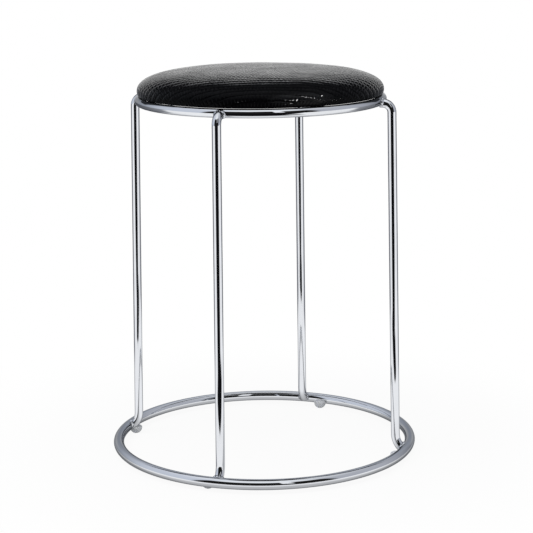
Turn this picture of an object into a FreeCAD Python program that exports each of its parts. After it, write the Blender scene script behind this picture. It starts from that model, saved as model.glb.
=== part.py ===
import FreeCAD, Part

import math
import os

import Sketcher

from FreeCAD import Placement, Rotation, Vector

# Round upholstered stool. Millimetres, +Z up, floor at Z = 0, stool axis on Z, front towards -Y.

SIZES = {
    # base ring: centreline radius, tube, and height of its centreline above the floor
    "base_ring_radius": 171.6,
    "base_tube_diameter": 12.0,
    "base_tube_wall": 1.2,
    "base_ring_height": 9.8,
    # top ring, with its centreline this far above that of the base ring
    "ring_spacing": 401.0,
    "top_ring_radius": 138.0,
    "top_tube_diameter": 10.0,
    "top_tube_wall": 1.2,
    # legs: how far inside the base ring and outside the top ring each runs, bends, and ends
    "first_leg_angle": 45.0,
    "leg_tube_diameter": 10.0,
    "leg_tube_wall": 1.2,
    "leg_foot_inset": 12.4,
    "leg_head_overhang": 15.0,
    "leg_head_bend": 10.0,
    "leg_head_drop": 1.7,
    "leg_foot_bend": 24.0,
    "leg_foot_standoff": 6.4,
    "leg_foot_rise": 1.5,
    "weld_width": 1.8,
    # glides: a ball with a flat sole, inside and below the base ring
    "glide_ball_diameter": 15.0,
    "glide_ball_height": 7.0,
    "glide_inset": 7.3,
    "glide_top_drop": 2.1,
    "glide_stem_diameter": 4.0,
    "glide_stem_grip": 2.5,
    # cushion: how far it stands out over the top ring's centreline, height of its widest
    # level over the seat's underside, crown and lower roll
    "seat_overhang": 2.0,
    "seat_belly_height": 5.6,
    "seat_rise": 24.0,
    "seat_roll": 3.0,
    "seat_shoulder_handle": 1.0,
    "seat_crown_handle": 0.5,
    "cover_thickness": 1.0,
    "hem_width": 20.0,
    "board_inset": 5.0,
    "board_thickness": 9.0,
    "board_edge_round": 1.0,
    "dust_cover_inset": 11.0,
    "dust_cover_thickness": 0.4,
    # tabs, screws and washers that hold the seat to the top ring
    "tab_width": 18.0,
    "tab_thickness": 2.0,
    "tab_length": 36.0,
    "tab_hole_diameter": 4.8,
    "tab_hole_margin": 9.0,
    "screw_diameter": 4.0,
    "screw_length": 11.0,
    "screw_tip_length": 2.0,
    "screw_head_diameter": 8.0,
    "screw_head_height": 2.6,
    "screw_recess_width": 1.0,
    "screw_recess_length": 4.6,
    "screw_recess_depth": 1.3,
    "washer_diameter": 10.0,
    "washer_thickness": 1.0,
    # staples
    "staple_width": 10.0,
    "staple_wire": 0.7,
    "staple_leg": 6.0,
    "hem_staple_margin": 5.0,
    "dust_staple_margin": 4.0,
    # clearances: welds and staples, screws and seated parts, soft parts
    "snug_gap": 0.05,
    "fit_gap": 0.1,
    "soft_gap": 0.1,
}
LEG_COUNT = 4
HEM_STAPLE_COUNT = 20
DUST_STAPLE_COUNT = 16
CORNERS = ["rear_right", "rear_left", "front_left", "front_right"]
SIDES = ["right", "rear", "left", "front"]
# each glide sits this many degrees clockwise of its leg, seen from above
GLIDE_LEAD = {"rear_right": 7.8, "rear_left": 0.9, "front_left": 4.5, "front_right": 4.5}
ROUND_HANDLE = 0.5523
FULL_TURN = 360.0
UP = Vector(0, 0, 1)

doc = FreeCAD.newDocument("stool")
sheet = doc.addObject("Spreadsheet::Sheet", "Sizes")
for row, (alias, value) in enumerate(SIZES.items(), start=1):
    sheet.set("A%d" % row, alias)
    sheet.set("B%d" % row, str(value))
    sheet.setAlias("B%d" % row, alias)
doc.recompute()

sub_parts = []


# shared helpers

def size(alias):
    return float(sheet.get(alias))


def turned(angle):
    return Placement(Vector(0, 0, 0), Rotation(UP, angle))


def new_body(label):
    body = doc.addObject("PartDesign::Body", label)
    body.Label = label
    sub_parts.append(body)
    return body


def new_shape(label, shape, placement=Placement()):
    feature = doc.addObject("Part::Feature", label)
    feature.Label = label
    feature.Shape = shape
    feature.Placement = placement
    sub_parts.append(feature)
    return feature


def new_sketch(body, name, role, offset=None, angle=0.0):
    """A sketch on one of the body's origin planes, lifted off it by the offset formula."""
    plane = [item for item in body.Origin.OriginFeatures if item.Role == role][0]
    sketch = body.newObject("Sketcher::SketchObject", name)
    sketch.AttachmentSupport = [(plane, "")]
    sketch.MapMode = "FlatFace"
    sketch.AttachmentOffset = turned(angle)
    if offset:
        sketch.setExpression("AttachmentOffset.Base.z", offset)
    doc.recompute()
    return sketch


def bind(sketch, constraint, formula):
    """Adds a dimension to a sketch and ties it to the sheet."""
    index = sketch.addConstraint(constraint)
    sketch.setExpression("Constraints[%d]" % index, formula)


def worked_out(formula):
    """The present value of a formula on the sheet's cells."""
    return float(sheet.evalExpression(formula))


def add_circle(sketch, radius, across, along):
    """A circle whose centre and radius are formulas; a centre on an axis is given as None."""
    x = worked_out(across) if across else 0.0
    y = worked_out(along) if along else 0.0
    circle = sketch.addGeometry(Part.Circle(Vector(x, y, 0), UP, worked_out(radius)))
    if across:
        bind(sketch, Sketcher.Constraint("DistanceX", -1, 1, circle, 3, x), across)
    else:
        sketch.addConstraint(Sketcher.Constraint("PointOnObject", circle, 3, -2))
    if along:
        bind(sketch, Sketcher.Constraint("DistanceY", -1, 1, circle, 3, y), along)
    else:
        sketch.addConstraint(Sketcher.Constraint("PointOnObject", circle, 3, -1))
    bind(sketch, Sketcher.Constraint("Radius", circle, worked_out(radius)), radius)
    return circle


def revolve(body, name, kind, sketch, axis="V_Axis"):
    feature = body.newObject("PartDesign::" + kind, name)
    feature.Profile = sketch
    feature.ReferenceAxis = (sketch, [axis])
    feature.Angle = FULL_TURN
    doc.recompute()
    return feature


def pad(body, name, sketch, length):
    feature = body.newObject("PartDesign::Pad", name)
    feature.Profile = sketch
    feature.setExpression("Length", length)
    doc.recompute()
    return feature


def pocket_up(body, name, sketch, depth):
    """A pocket that goes up from its sketch, with a check that it takes material away."""
    before = body.Shape.Volume
    feature = body.newObject("PartDesign::Pocket", name)
    feature.Profile = sketch
    feature.Reversed = True
    feature.setExpression("Length", depth)
    doc.recompute()
    if body.Shape.Volume >= before:
        raise ValueError(body.Label + ": " + name + " cuts nothing")
    return feature


def round_rims(body, name, radius, below=math.inf):
    """Rounds the body's circular edges that lie lower than a height."""
    base = body.Tip
    rims = ["Edge%d" % (number + 1) for number, edge in enumerate(body.Shape.Edges)
            if edge.isClosed() and edge.CenterOfMass.z < below]
    feature = body.newObject("PartDesign::Fillet", name)
    feature.Base = (base, rims)
    feature.setExpression("Radius", radius)
    doc.recompute()
    return feature


def pattern(body, name, original, count):
    """Copies of a feature, evenly spaced round the body's Z axis."""
    z_axis = [item for item in body.Origin.OriginFeatures if item.Role == "Z_Axis"][0]
    feature = body.newObject("PartDesign::PolarPattern", name)
    feature.Originals = [original]
    feature.Axis = (z_axis, [""])
    feature.Angle = FULL_TURN
    feature.Occurrences = count
    body.Tip = feature
    doc.recompute()
    return feature


# radii and heights that several pieces share, as formulas on the sheet

LEG_FOOT_RADIUS = "Sizes.base_ring_radius - Sizes.leg_foot_inset"
LEG_FOOT_REACH = "Sizes.leg_foot_inset - Sizes.leg_foot_standoff"
LEG_HEAD_RADIUS = "Sizes.top_ring_radius + Sizes.leg_head_overhang"
SEAT_RADIUS = "Sizes.top_ring_radius + Sizes.seat_overhang"
BOARD_RADIUS = SEAT_RADIUS + " - Sizes.board_inset"
DUST_COVER_RADIUS = BOARD_RADIUS + " - Sizes.dust_cover_inset"
HEM_STAPLE_RADIUS = DUST_COVER_RADIUS + " + Sizes.hem_staple_margin"
DUST_STAPLE_RADIUS = DUST_COVER_RADIUS + " - Sizes.dust_staple_margin"

TOP_RING_HEIGHT = "Sizes.base_ring_height + Sizes.ring_spacing"
SEAT_UNDERSIDE = TOP_RING_HEIGHT + " + Sizes.top_tube_diameter / 2 + Sizes.fit_gap"
BOARD_UNDERSIDE = SEAT_UNDERSIDE + " + Sizes.cover_thickness + Sizes.soft_gap"
DUST_COVER_TOP = SEAT_UNDERSIDE + " - Sizes.soft_gap"
DUST_COVER_UNDERSIDE = DUST_COVER_TOP + " - Sizes.dust_cover_thickness"
TAB_UNDERSIDE = DUST_COVER_UNDERSIDE + " - Sizes.soft_gap - Sizes.tab_thickness"
TAB_REACH = "Sizes.top_ring_radius - Sizes.tab_length"
SCREW_RADIUS = TAB_REACH + " + Sizes.tab_hole_margin"
WASHER_UNDERSIDE = TAB_UNDERSIDE + " - Sizes.snug_gap - Sizes.washer_thickness"
SCREW_SEAT = WASHER_UNDERSIDE + " - Sizes.snug_gap"
SCREW_TIP = SCREW_SEAT + " + Sizes.screw_length"
STAPLE_ROWS = [
    ("hem_staple_hole", HEM_STAPLE_RADIUS, HEM_STAPLE_COUNT, SEAT_UNDERSIDE),
    ("dust_staple_hole", DUST_STAPLE_RADIUS, DUST_STAPLE_COUNT, DUST_COVER_UNDERSIDE),
]


# tube rings

def tube_ring(label, ring_radius, height, diameter, wall):
    body = new_body(label)
    section = new_sketch(body, label + "_section", "XZ_Plane")
    add_circle(section, diameter + " / 2", ring_radius, height)
    add_circle(section, diameter + " / 2 - " + wall, ring_radius, height)
    revolve(body, label + "_tube", "Revolution", section)
    return body


def ring_clearance(body, name, ring_radius, height, diameter, gap):
    """Takes the room of a tube ring, and a gap round it, out of a body."""
    before = body.Shape.Volume
    section = new_sketch(body, name + "_section", "XZ_Plane")
    add_circle(section, diameter + " / 2 + " + gap, ring_radius, height)
    revolve(body, name, "Groove", section)
    if body.Shape.Volume >= before:
        raise ValueError(body.Label + ": " + name + " cuts nothing")


BASE_RING = ("Sizes.base_ring_radius", "Sizes.base_ring_height", "Sizes.base_tube_diameter")
TOP_RING = ("Sizes.top_ring_radius", TOP_RING_HEIGHT, "Sizes.top_tube_diameter")


def glide_stem_placement(angle, start):
    """Places a cylinder along the line from a glide's ball to the base ring's centreline."""
    inset = size("glide_inset")
    rise = size("base_ring_height") - size("glide_ball_height")
    direction = Vector(inset, 0, rise).normalize()
    ball = Vector(size("base_ring_radius") - inset, 0, size("glide_ball_height"))
    lying = Placement(ball + direction * start, Rotation(UP, direction))
    return turned(angle).multiply(lying)


def stem_length():
    """From the ball's centre through the tube wall, with the grip beyond it."""
    inset = size("glide_inset")
    rise = size("base_ring_height") - size("glide_ball_height")
    wall_inside = size("base_tube_diameter") / 2 - size("base_tube_wall")
    return math.hypot(inset, rise) - wall_inside + size("glide_stem_grip")


def base_ring():
    body = tube_ring("base_ring", *BASE_RING, "Sizes.base_tube_wall")
    for index, corner in enumerate(CORNERS):
        before = body.Shape.Volume
        hole = body.newObject("PartDesign::SubtractiveCylinder", "glide_hole_" + corner)
        hole.setExpression("Radius", "Sizes.glide_stem_diameter / 2 + Sizes.fit_gap")
        hole.Height = stem_length()
        hole.Placement = glide_stem_placement(glide_angle(index), 0.0)
        doc.recompute()
        if body.Shape.Volume >= before:
            raise ValueError("a glide hole cuts nothing")


# legs

def leg_angle(index):
    return size("first_leg_angle") + index * FULL_TURN / LEG_COUNT


def glide_angle(index):
    return leg_angle(index) - GLIDE_LEAD[CORNERS[index]]


def leg_route():
    """Corner points, bend centres and angles of a leg's centreline, as radius and height."""
    base = size("base_ring_height")
    foot_radius = worked_out(LEG_FOOT_RADIUS)
    lean = math.atan2(foot_radius - worked_out(LEG_HEAD_RADIUS), size("ring_spacing"))
    outward = Vector(math.cos(lean), math.sin(lean), 0)
    downward = Vector(math.sin(lean), -math.cos(lean), 0)

    def on_leg(height):
        return Vector(foot_radius - (height - base) * math.tan(lean), height, 0)

    end_height = worked_out(TOP_RING_HEIGHT) - size("leg_head_drop")
    bend = size("leg_head_bend")
    head_centre = on_leg(end_height - bend) - Vector(bend / math.cos(lean), 0, 0)
    foot_height = base + size("leg_foot_rise")
    foot_bend = size("leg_foot_bend")
    foot_turn = math.acos(1.0 - worked_out(LEG_FOOT_REACH) / foot_bend)
    foot_start = on_leg(foot_height) - downward * (foot_bend * math.sin(foot_turn))
    foot_centre = foot_start + outward * foot_bend
    return {
        "lean": lean,
        "outward": outward,
        "start": Vector(size("top_ring_radius"), end_height, 0),
        "head_centre": head_centre,
        "head_in": head_centre + Vector(0, bend, 0),
        "head_out": head_centre + outward * bend,
        "foot_start": foot_start,
        "foot_centre": foot_centre,
        "foot_turn": foot_turn,
        "foot_angle": math.pi + lean,
    }


def leg_path(body):
    """The centreline: short level run, tight bend, long run, gentle bend out to the base ring."""
    route = leg_route()
    sketch = new_sketch(body, "path", "XZ_Plane")
    level = sketch.addGeometry(Part.LineSegment(route["start"], route["head_in"]))
    head = sketch.addGeometry(Part.ArcOfCircle(
        Part.Circle(route["head_centre"], UP, size("leg_head_bend")), route["lean"], math.pi / 2))
    run = sketch.addGeometry(Part.LineSegment(route["head_out"], route["foot_start"]))
    foot = sketch.addGeometry(Part.ArcOfCircle(
        Part.Circle(route["foot_centre"], UP, size("leg_foot_bend")),
        route["foot_angle"], route["foot_angle"] + route["foot_turn"]))
    marks = []
    for radius, height in ((LEG_HEAD_RADIUS, TOP_RING_HEIGHT),
                           (LEG_FOOT_RADIUS, "Sizes.base_ring_height")):
        spot = Vector(worked_out(radius), worked_out(height), 0)
        mark = sketch.addGeometry(Part.Point(spot), True)
        bind(sketch, Sketcher.Constraint("DistanceX", -1, 1, mark, 1, spot.x), radius)
        bind(sketch, Sketcher.Constraint("DistanceY", -1, 1, mark, 1, spot.y), height)
        marks.append(mark)
    sketch.addConstraint(Sketcher.Constraint("Horizontal", level))
    sketch.addConstraint(Sketcher.Constraint("Tangent", level, 2, head, 2))
    sketch.addConstraint(Sketcher.Constraint("Tangent", head, 1, run, 1))
    sketch.addConstraint(Sketcher.Constraint("Tangent", run, 2, foot, 1))
    for mark in marks:
        sketch.addConstraint(Sketcher.Constraint("PointOnObject", mark, 1, run))
    start = route["start"]
    bind(sketch, Sketcher.Constraint("DistanceX", -1, 1, level, 1, start.x), "Sizes.top_ring_radius")
    bind(sketch, Sketcher.Constraint("DistanceY", -1, 1, level, 1, start.y),
         TOP_RING_HEIGHT + " - Sizes.leg_head_drop")
    bind(sketch, Sketcher.Constraint("Radius", head, size("leg_head_bend")), "Sizes.leg_head_bend")
    bind(sketch, Sketcher.Constraint("Radius", foot, size("leg_foot_bend")), "Sizes.leg_foot_bend")
    end_height = size("base_ring_height") + size("leg_foot_rise")
    bind(sketch, Sketcher.Constraint("DistanceY", -1, 1, foot, 2, end_height),
         "Sizes.base_ring_height + Sizes.leg_foot_rise")
    bind(sketch, Sketcher.Constraint("Distance", foot, 2, run, worked_out(LEG_FOOT_REACH)),
         LEG_FOOT_REACH)
    return sketch


def leg(index):
    body = new_body("leg_" + CORNERS[index])
    path = leg_path(body)
    section = new_sketch(body, "section", "YZ_Plane", "Sizes.top_ring_radius")
    end_height = TOP_RING_HEIGHT + " - Sizes.leg_head_drop"
    add_circle(section, "Sizes.leg_tube_diameter / 2", None, end_height)
    add_circle(section, "Sizes.leg_tube_diameter / 2 - Sizes.leg_tube_wall", None, end_height)
    tube = body.newObject("PartDesign::AdditivePipe", "tube")
    tube.Profile = section
    tube.Spine = (path, [])
    doc.recompute()
    ring_clearance(body, "top_cope", *TOP_RING, "Sizes.snug_gap")
    ring_clearance(body, "foot_cope", *BASE_RING, "Sizes.snug_gap")
    centreline = Part.Wire(Part.__sortEdges__(path.Shape.Edges))
    body.Placement = turned(leg_angle(index))
    return centreline


def leg_envelope(centreline, growth):
    """A leg without its bore, swept along the same centreline and thicker all round."""
    start = leg_route()["start"]
    radius = size("leg_tube_diameter") / 2 + growth
    section = Part.Wire(Part.makeCircle(radius, Vector(start.x, 0, start.y), Vector(1, 0, 0)))
    return centreline.makePipeShell([section], True, False)


def ring_envelope(ring, growth):
    ring_radius, height, diameter = ring
    tube_radius = worked_out(diameter) / 2 + growth
    return Part.makeTorus(worked_out(ring_radius), tube_radius, Vector(0, 0, worked_out(height)))


def weld_beads(label, ring, centreline):
    """A collar round each leg's end: what lies within a weld's width of both tubes."""
    gap = size("snug_gap")
    width = size("weld_width")
    bead = ring_envelope(ring, width).common(leg_envelope(centreline, width))
    bead = bead.cut(ring_envelope(ring, gap)).cut(leg_envelope(centreline, gap))
    for index, corner in enumerate(CORNERS):
        new_shape(label + "_" + corner, bead, turned(leg_angle(index)))


# glides

def glide(index):
    """A domed foot with a flat sole and a flat top, hollowed to the ring, with a stem."""
    body = new_body("glide_" + CORNERS[index])
    ball_radius = size("glide_ball_diameter") / 2
    centre = Vector(size("base_ring_radius") - size("glide_inset"), size("glide_ball_height"), 0)
    top = size("base_ring_height") - size("glide_top_drop")
    sole_radius = math.sqrt(ball_radius ** 2 - centre.y ** 2)
    top_radius = math.sqrt(ball_radius ** 2 - (top - centre.y) ** 2)
    sole = Vector(centre.x + sole_radius, 0, 0)
    shoulder = Vector(centre.x + top_radius, top, 0)
    sketch = new_sketch(body, "section", "XZ_Plane")
    axis = sketch.addGeometry(Part.LineSegment(Vector(centre.x, top, 0), Vector(centre.x, 0, 0)))
    bottom = sketch.addGeometry(Part.LineSegment(Vector(centre.x, 0, 0), sole))
    dome = sketch.addGeometry(Part.ArcOfCircle(
        Part.Circle(centre, UP, ball_radius),
        math.atan2(-centre.y, sole_radius), math.atan2(top - centre.y, top_radius)))
    lid = sketch.addGeometry(Part.LineSegment(shoulder, Vector(centre.x, top, 0)))
    sketch.addConstraint(Sketcher.Constraint("Coincident", axis, 2, bottom, 1))
    sketch.addConstraint(Sketcher.Constraint("Coincident", bottom, 2, dome, 1))
    sketch.addConstraint(Sketcher.Constraint("Coincident", dome, 2, lid, 1))
    sketch.addConstraint(Sketcher.Constraint("Coincident", lid, 2, axis, 1))
    sketch.addConstraint(Sketcher.Constraint("Vertical", axis))
    sketch.addConstraint(Sketcher.Constraint("Horizontal", bottom))
    sketch.addConstraint(Sketcher.Constraint("Horizontal", lid))
    sketch.addConstraint(Sketcher.Constraint("PointOnObject", axis, 2, -1))
    sketch.addConstraint(Sketcher.Constraint("PointOnObject", dome, 3, axis))
    bind(sketch, Sketcher.Constraint("DistanceX", -1, 1, axis, 2, centre.x),
         "Sizes.base_ring_radius - Sizes.glide_inset")
    bind(sketch, Sketcher.Constraint("DistanceY", -1, 1, dome, 3, centre.y),
         "Sizes.glide_ball_height")
    bind(sketch, Sketcher.Constraint("DistanceY", -1, 1, axis, 1, top),
         "Sizes.base_ring_height - Sizes.glide_top_drop")
    bind(sketch, Sketcher.Constraint("Radius", dome, ball_radius),
         "Sizes.glide_ball_diameter / 2")
    revolve(body, "head", "Revolution", sketch, "Edge1")
    ring_clearance(body, "saddle", *BASE_RING, "Sizes.snug_gap")
    stem = body.newObject("PartDesign::AdditiveCylinder", "stem")
    stem.setExpression("Radius", "Sizes.glide_stem_diameter / 2")
    stem.Height = stem_length() - size("fit_gap")
    stem.Placement = glide_stem_placement(0.0, 0.0)
    doc.recompute()
    body.Placement = turned(glide_angle(index))


# cushion: cover, foam, board and dust cover

def quarter(widest, end, side_handle, end_handle):
    """A curve from the widest point, upright there, to a level end: one cubic with two handles."""
    rise = end.z - widest.z
    across = widest.x - end.x
    curve = Part.BezierCurve()
    curve.setPoles([widest, widest + Vector(0, 0, side_handle * rise),
                    end + Vector(end_handle * across, 0, 0), end])
    return curve.toShape()


def cushion_outline(inset):
    """The cushion's outline drawn in by an inset: end of the sole, lower roll, crown, and top."""
    radius = worked_out(SEAT_RADIUS) - inset
    underside = worked_out(SEAT_UNDERSIDE)
    belly = underside + size("seat_belly_height")
    widest = Vector(radius, 0, belly)
    top = Vector(0, 0, belly + size("seat_rise") - inset)
    sole_end = Vector(radius - size("seat_roll"), 0, underside + inset)
    crown = quarter(widest, top, size("seat_shoulder_handle"), size("seat_crown_handle"))
    roll = quarter(widest, sole_end, ROUND_HANDLE, ROUND_HANDLE)
    return sole_end, roll, crown, top


def line(start, end):
    return Part.LineSegment(start, end).toShape()


def revolved(edges):
    face = Part.Face(Part.Wire(Part.__sortEdges__(edges)))
    return face.revolve(Vector(0, 0, 0), UP, FULL_TURN)


def staple_post(ring_radius, low, high, growth):
    """The two legs of one staple, which lies along the seat's edge on the +X side."""
    reach = (size("staple_width") - size("staple_wire")) / 2
    radius = size("staple_wire") / 2 + growth
    posts = [Part.makeCylinder(radius, high - low, Vector(ring_radius, side * reach, low))
             for side in (-1, 1)]
    return Part.makeCompound(posts)


def round_the_seat(shape, count):
    """Copies of a shape round the stool's axis, the first half a step from +X."""
    copies = []
    for index in range(count):
        copy = shape.copy()
        copy.Placement = turned((index + 0.5) * FULL_TURN / count)
        copies.append(copy)
    return Part.makeCompound(copies)


def staples(label, ring_radius, count, carrier):
    """Wire staples driven up, with their crowns against the carrier's underside."""
    radius = size("staple_wire") / 2
    reach = size("staple_width") / 2 - radius
    height = carrier - size("snug_gap") - radius
    crown = Part.makeCylinder(radius, 2 * reach, Vector(ring_radius, -reach, height), Vector(0, 1, 0))
    staple = crown.fuse([
        Part.makeSphere(radius, Vector(ring_radius, -reach, height)),
        Part.makeSphere(radius, Vector(ring_radius, reach, height)),
        staple_post(ring_radius, height, height + size("staple_leg"), 0.0),
    ])
    new_shape(label, round_the_seat(staple.removeSplitter(), count))


def seat_cover():
    """The vinyl skin: full over the crown, and a flat hem under the board's edge."""
    underside = worked_out(SEAT_UNDERSIDE)
    thickness = size("cover_thickness")
    outer_sole, outer_roll, outer_crown, outer_top = cushion_outline(0.0)
    inner_sole, inner_roll, inner_crown, inner_top = cushion_outline(thickness)
    underside_centre = Vector(0, 0, underside)
    hem = Part.makeCylinder(inner_sole.x, thickness, underside_centre)
    hem = hem.cut(Part.makeCylinder(outer_sole.x - size("hem_width"), thickness, underside_centre))
    for radius, count in ((HEM_STAPLE_RADIUS, HEM_STAPLE_COUNT),
                          (DUST_STAPLE_RADIUS, DUST_STAPLE_COUNT)):
        post = staple_post(worked_out(radius), underside - thickness, underside + 2 * thickness,
                           size("snug_gap"))
        hem = hem.cut(round_the_seat(post, count))
    inner_low = Vector(inner_sole.x, 0, underside)
    skin = revolved([line(inner_low, outer_sole), outer_roll, outer_crown,
                     line(outer_top, inner_top), inner_crown, inner_roll,
                     line(inner_sole, inner_low)])
    new_shape("seat_cover", skin.fuse(hem).removeSplitter())


def seat_foam():
    """The pad: fills the cover over the board and runs down round the board's edge."""
    gap = size("soft_gap")
    sole_end, roll, crown, top = cushion_outline(size("cover_thickness") + gap)
    inside = worked_out(BOARD_RADIUS) + gap
    board_top = worked_out(BOARD_UNDERSIDE) + size("board_thickness") + gap
    low = Vector(inside, 0, sole_end.z)
    corner = Vector(inside, 0, board_top)
    centre = Vector(0, 0, board_top)
    new_shape("seat_foam", revolved([line(low, sole_end), roll, crown, line(top, centre),
                                     line(centre, corner), line(corner, low)]))


def staple_holes(body, name, height, depth, ring_radius, count):
    """Pairs of holes for the legs of a ring of staples."""
    sketch = new_sketch(body, name + "_section", "XY_Plane", height, FULL_TURN / count / 2)
    radius = "Sizes.staple_wire / 2 + Sizes.snug_gap"
    reach = "Sizes.staple_width / 2 - Sizes.staple_wire / 2"
    add_circle(sketch, radius, ring_radius, reach)
    add_circle(sketch, radius, ring_radius, "-(" + reach + ")")
    pattern(body, name + "s", pocket_up(body, name, sketch, depth), count)


def screw_holes(body, name, height, depth):
    sketch = new_sketch(body, name + "_section", "XY_Plane", height)
    add_circle(sketch, "Sizes.screw_diameter / 2 + Sizes.fit_gap", SCREW_RADIUS, None)
    pattern(body, name + "s", pocket_up(body, name, sketch, depth), LEG_COUNT)


def seat_board():
    body = new_body("seat_board")
    outline = new_sketch(body, "outline", "XY_Plane", BOARD_UNDERSIDE)
    add_circle(outline, BOARD_RADIUS, None, None)
    pad(body, "board", outline, "Sizes.board_thickness")
    round_rims(body, "edge_round", "Sizes.board_edge_round")
    depth = SCREW_TIP + " + Sizes.fit_gap - (" + BOARD_UNDERSIDE + ")"
    screw_holes(body, "screw_hole", BOARD_UNDERSIDE, depth)
    for name, radius, count, carrier in STAPLE_ROWS:
        depth = carrier + " + Sizes.staple_leg - (" + BOARD_UNDERSIDE + ")"
        staple_holes(body, name, BOARD_UNDERSIDE, depth, radius, count)


def dust_cover():
    body = new_body("dust_cover")
    outline = new_sketch(body, "outline", "XY_Plane", DUST_COVER_UNDERSIDE)
    add_circle(outline, DUST_COVER_RADIUS, None, None)
    pad(body, "cloth", outline, "Sizes.dust_cover_thickness")
    screw_holes(body, "screw_hole", DUST_COVER_UNDERSIDE, "Sizes.dust_cover_thickness")
    staple_holes(body, "dust_staple_hole", DUST_COVER_UNDERSIDE, "Sizes.dust_cover_thickness",
                 DUST_STAPLE_RADIUS, DUST_STAPLE_COUNT)


# tabs, screws and washers

def seat_tab(index):
    """A flat strip from the top ring inwards, rounded at its free end, with a screw hole."""
    body = new_body("seat_tab_" + SIDES[index])
    half = size("tab_width") / 2
    far = size("top_ring_radius")
    near = worked_out(TAB_REACH) + half
    sketch = new_sketch(body, "outline", "XY_Plane", TAB_UNDERSIDE)
    left = sketch.addGeometry(Part.LineSegment(Vector(far, half, 0), Vector(near, half, 0)))
    nose = sketch.addGeometry(Part.ArcOfCircle(
        Part.Circle(Vector(near, 0, 0), UP, half), math.pi / 2, 1.5 * math.pi))
    right = sketch.addGeometry(Part.LineSegment(Vector(near, -half, 0), Vector(far, -half, 0)))
    end = sketch.addGeometry(Part.LineSegment(Vector(far, -half, 0), Vector(far, half, 0)))
    sketch.addConstraint(Sketcher.Constraint("Tangent", left, 2, nose, 1))
    sketch.addConstraint(Sketcher.Constraint("Tangent", nose, 2, right, 1))
    sketch.addConstraint(Sketcher.Constraint("Coincident", right, 2, end, 1))
    sketch.addConstraint(Sketcher.Constraint("Coincident", end, 2, left, 1))
    sketch.addConstraint(Sketcher.Constraint("Horizontal", left))
    sketch.addConstraint(Sketcher.Constraint("Horizontal", right))
    sketch.addConstraint(Sketcher.Constraint("Vertical", end))
    sketch.addConstraint(Sketcher.Constraint("PointOnObject", nose, 3, -1))
    bind(sketch, Sketcher.Constraint("DistanceX", -1, 1, nose, 3, near),
         TAB_REACH + " + Sizes.tab_width / 2")
    bind(sketch, Sketcher.Constraint("DistanceX", -1, 1, end, 1, far), "Sizes.top_ring_radius")
    bind(sketch, Sketcher.Constraint("Radius", nose, half), "Sizes.tab_width / 2")
    add_circle(sketch, "Sizes.tab_hole_diameter / 2", SCREW_RADIUS, None)
    pad(body, "strip", sketch, "Sizes.tab_thickness")
    ring_clearance(body, "ring_cope", *TOP_RING, "Sizes.snug_gap")
    body.Placement = turned(side_angle(index))


def tab_weld(index):
    """A bead in the corner between a tab's underside and the top ring."""
    width = size("weld_width")
    length = size("tab_width") - 2 * width
    height = worked_out(TAB_UNDERSIDE)
    tube_radius = size("top_tube_diameter") / 2
    drop = worked_out(TOP_RING_HEIGHT) - height
    contact = size("top_ring_radius") - math.sqrt(tube_radius ** 2 - drop ** 2)
    bead = Part.makeCylinder(width, length, Vector(contact, -length / 2, height), Vector(0, 1, 0))
    above = Part.makeBox(4 * width, 2 * length, 2 * width,
                         Vector(contact - 2 * width, -length, height - size("snug_gap")))
    bead = bead.cut(above).cut(ring_envelope(TOP_RING, size("snug_gap")))
    new_shape("tab_weld_" + SIDES[index], bead, turned(side_angle(index)))


def side_angle(index):
    return size("first_leg_angle") - FULL_TURN / LEG_COUNT / 2 + index * FULL_TURN / LEG_COUNT


def seat_washer(index):
    body = new_body("seat_washer_" + SIDES[index])
    sketch = new_sketch(body, "outline", "XY_Plane", WASHER_UNDERSIDE)
    add_circle(sketch, "Sizes.washer_diameter / 2", SCREW_RADIUS, None)
    add_circle(sketch, "Sizes.screw_diameter / 2 + Sizes.fit_gap", SCREW_RADIUS, None)
    pad(body, "washer", sketch, "Sizes.washer_thickness")
    body.Placement = turned(side_angle(index))


def primitive(body, name, kind, sizes, place):
    feature = body.newObject("PartDesign::" + kind, name)
    for dimension, formula in sizes.items():
        feature.setExpression(dimension, formula)
    feature.Placement = Placement(place, Rotation())
    doc.recompute()
    return feature


def seat_screw(index):
    """A pan head screw pointing up, with a cross recess; its own origin is under the head."""
    body = new_body("seat_screw_" + SIDES[index])
    head_height = size("screw_head_height")
    shank_length = size("screw_length") - size("screw_tip_length")
    primitive(body, "head", "AdditiveCylinder",
              {"Radius": "Sizes.screw_head_diameter / 2", "Height": "Sizes.screw_head_height"},
              Vector(0, 0, -head_height))
    round_rims(body, "head_round", "Sizes.screw_head_height / 2", -head_height / 2)
    primitive(body, "shank", "AdditiveCylinder",
              {"Radius": "Sizes.screw_diameter / 2",
               "Height": "Sizes.screw_length - Sizes.screw_tip_length"}, Vector(0, 0, 0))
    primitive(body, "tip", "AdditiveCone",
              {"Radius1": "Sizes.screw_diameter / 2", "Radius2": "Sizes.screw_diameter / 8",
               "Height": "Sizes.screw_tip_length"}, Vector(0, 0, shank_length))
    across = "Sizes.screw_recess_length"
    along = "Sizes.screw_recess_width"
    for name, length, width in (("recess_across", across, along), ("recess_along", along, across)):
        before = body.Shape.Volume
        corner = Vector(-worked_out(length) / 2, -worked_out(width) / 2, -head_height)
        primitive(body, name, "SubtractiveBox",
                  {"Length": length, "Width": width, "Height": "Sizes.screw_recess_depth"}, corner)
        if body.Shape.Volume >= before:
            raise ValueError("a screw recess cuts nothing")
    seat = Vector(worked_out(SCREW_RADIUS), 0, worked_out(SCREW_SEAT))
    body.Placement = turned(side_angle(index)).multiply(Placement(seat, Rotation()))


# assembly

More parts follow.
